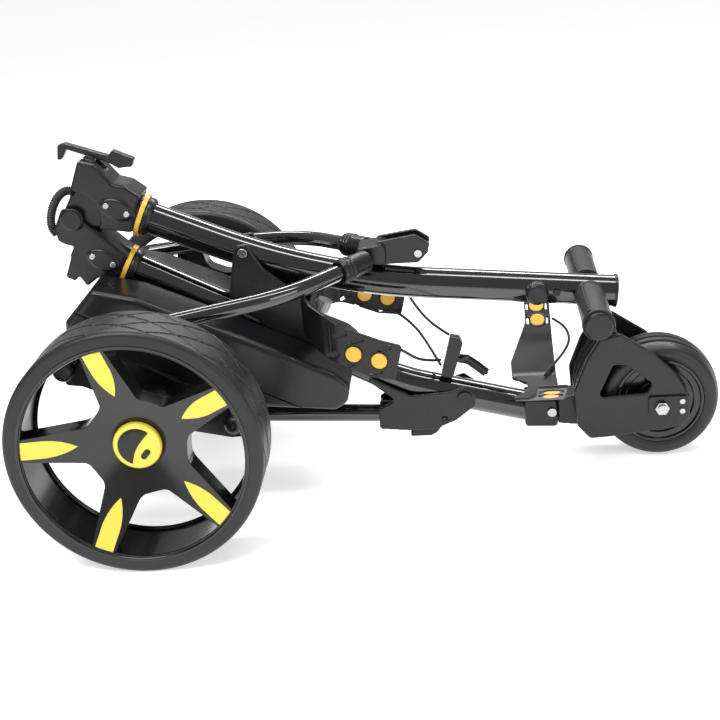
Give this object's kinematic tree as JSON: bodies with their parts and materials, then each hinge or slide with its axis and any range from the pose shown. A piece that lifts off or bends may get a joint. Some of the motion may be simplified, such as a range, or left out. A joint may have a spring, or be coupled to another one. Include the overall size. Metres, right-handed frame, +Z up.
{
  "type": "electric golf trolley",
  "caption": "Three-wheel electric golf trolley folded flat: handle tube hinged over the main frame, spoked drive wheels, ribbed front wheel in a fork, padded bag cradles and an anti-tip frame.",
  "frame": {"origin": "on the floor, under the middle of the overall length and width", "axes": "+X forward towards the front wheel, +Y to the trolley's left, +Z up"},
  "size_m": [0.8964, 0.6, 0.476],
  "materials": {
    "gloss_black_tube": "gloss black anodised tube",
    "housing_plastic": "smooth satin black moulding",
    "black_casting": "satin black powder coat",
    "black_plastic": "satin black moulding",
    "rim_plastic": "semi-gloss black",
    "tyre_rubber": "matt rubber",
    "yellow_plastic": "yellow inlay",
    "gold_trim": "golden trim",
    "grip_leather": "stitched black wrap",
    "steel": "bright zinc plated",
    "knurled_grey": "knurled light grey",
    "elastic_cord": "braided elastic",
    "conduit": "corrugated conduit"
  },
  "bodies": {
    "axle_unit": {"housing_cover": "housing_plastic", "housing_tray": "housing_plastic", "battery": "black_plastic", "drive_motors": "black_casting", "gearboxes": "black_casting", "axle_bearings": "steel", "axle_chassis": "black_casting", "frame_knobs": "black_plastic", "link_tube": "gloss_black_tube", "fold_bracket": "black_casting", "fold_bolt": "black_plastic"},
    "lock_lever": {"lock_lever": "black_plastic"},
    "wheel_right": {"rear_tyre_right": "tyre_rubber", "rear_rim_right": "rim_plastic", "rear_spoke_inserts_right": "yellow_plastic", "rear_hub_cap_right": "yellow_plastic", "rear_drive_axle_right": "steel"},
    "wheel_left": {"rear_tyre_left": "tyre_rubber", "rear_rim_left": "rim_plastic", "rear_spoke_inserts_left": "yellow_plastic", "rear_hub_cap_left": "yellow_plastic", "rear_drive_axle_left": "steel"},
    "release_right": {"rear_release_button_right": "black_plastic"},
    "release_left": {"rear_release_button_left": "black_plastic"},
    "main_frame": {"main_tube": "gloss_black_tube", "lower_hinge_bracket": "black_casting", "lower_gold_ring": "gold_trim", "hinge_pin": "black_plastic", "frame_screws": "steel", "cradle_saddle": "black_casting", "upper_cradle_arms": "black_plastic", "upper_cradle_pads": "gold_trim", "front_collar": "black_casting", "front_fork": "black_casting", "front_axle": "steel", "lower_cradle": "black_plastic", "lower_cradle_pads": "gold_trim", "upper_cord_right": "elastic_cord", "upper_cord_left": "elastic_cord", "upper_cord_top": "elastic_cord", "lower_cord": "elastic_cord", "cord_buckle": "black_plastic", "cable_conduit": "conduit"},
    "front_wheel": {"front_tyre": "tyre_rubber", "front_rim": "rim_plastic", "front_bearings": "steel"},
    "cradle_knob": {"cradle_knob": "knurled_grey"},
    "handle": {"handle_tube": "gloss_black_tube", "upper_hinge_bracket": "black_casting", "upper_gold_ring": "gold_trim", "handle_screws": "steel", "t_bar": "black_casting", "grips": "grip_leather", "end_caps": "black_plastic"},
    "latch_lever": {"latch_lever": "black_plastic"},
    "speed_dial": {"speed_dial": "black_plastic"},
    "power_button": {"power_button": "black_plastic"},
    "anti_tip_frame": {"wishbone_legs": "gloss_black_tube", "wishbone_connector": "black_casting", "wishbone_bolt": "steel"}
  },
  "joints": [
    {"name": "frame_rise", "type": "hinge", "parent": "axle_unit", "child": "main_frame", "pos_m": [0.10425, 0, 0.097], "axis": [0, 1, 0], "range_deg": [0, 11.05]},
    {"name": "handle_fold", "type": "hinge", "parent": "main_frame", "child": "handle", "pos_m": [-0.40075, 0, 0.379], "axis": [0, -1, 0], "range_deg": [0, 174], "deforming": ["cable_conduit"]},
    {"name": "anti_tip_swing", "type": "hinge", "parent": "axle_unit", "child": "anti_tip_frame", "pos_m": [-0.38975, 0, 0.231], "axis": [0, -1, 0], "range_deg": [0, 191.5]},
    {"name": "wheel_right_spin", "type": "hinge", "parent": "axle_unit", "child": "wheel_right", "pos_m": [-0.29075, -0.26, 0.1575], "axis": [0, 1, 0], "continuous": true},
    {"name": "wheel_left_spin", "type": "hinge", "parent": "axle_unit", "child": "wheel_left", "pos_m": [-0.29075, 0.26, 0.1575], "axis": [0, 1, 0], "continuous": true},
    {"name": "front_wheel_spin", "type": "hinge", "parent": "main_frame", "child": "front_wheel", "pos_m": [0.36625, 0, 0.082], "axis": [0, 1, 0], "continuous": true},
    {"name": "release_right_press", "type": "slide", "parent": "wheel_right", "child": "release_right", "axis": [0, 1, 0], "range_m": [0, 0.003], "stiffness_N_per_m": 600, "springref_m": -0.003},
    {"name": "release_left_press", "type": "slide", "parent": "wheel_left", "child": "release_left", "axis": [0, -1, 0], "range_m": [0, 0.003], "stiffness_N_per_m": 600, "springref_m": -0.003},
    {"name": "lock_lever_open", "type": "hinge", "parent": "axle_unit", "child": "lock_lever", "pos_m": [0.07525, 0, 0.067], "axis": [0, -1, 0], "range_deg": [0, 30], "stiffness_Nm_per_rad": 0.15, "springref_deg": -28.65},
    {"name": "latch_release", "type": "hinge", "parent": "handle", "child": "latch_lever", "pos_m": [-0.37075, 0, 0.452], "axis": [0, 1, 0], "range_deg": [0, 8], "stiffness_Nm_per_rad": 0.3, "springref_deg": -28.65},
    {"name": "speed_dial_turn", "type": "hinge", "parent": "handle", "child": "speed_dial", "pos_m": [0.20625, -0.028, 0.243], "axis": [0, -1, 0], "range_deg": [0, 270]},
    {"name": "power_button_press", "type": "slide", "parent": "handle", "child": "power_button", "axis": [0, 1, 0], "range_m": [0, 0.002], "stiffness_N_per_m": 500, "springref_m": -0.002},
    {"name": "cradle_knob_turn", "type": "hinge", "parent": "main_frame", "child": "cradle_knob", "pos_m": [-0.08475, 0, 0.226], "axis": [0.4648, 0, 0.8854], "continuous": true}
  ],
  "couplings": [
    {"joint": "frame_rise", "follows": "handle_fold", "ratio": 0.06322},
    {"joint": "anti_tip_swing", "follows": "handle_fold", "ratio": 1.1}
  ]
}
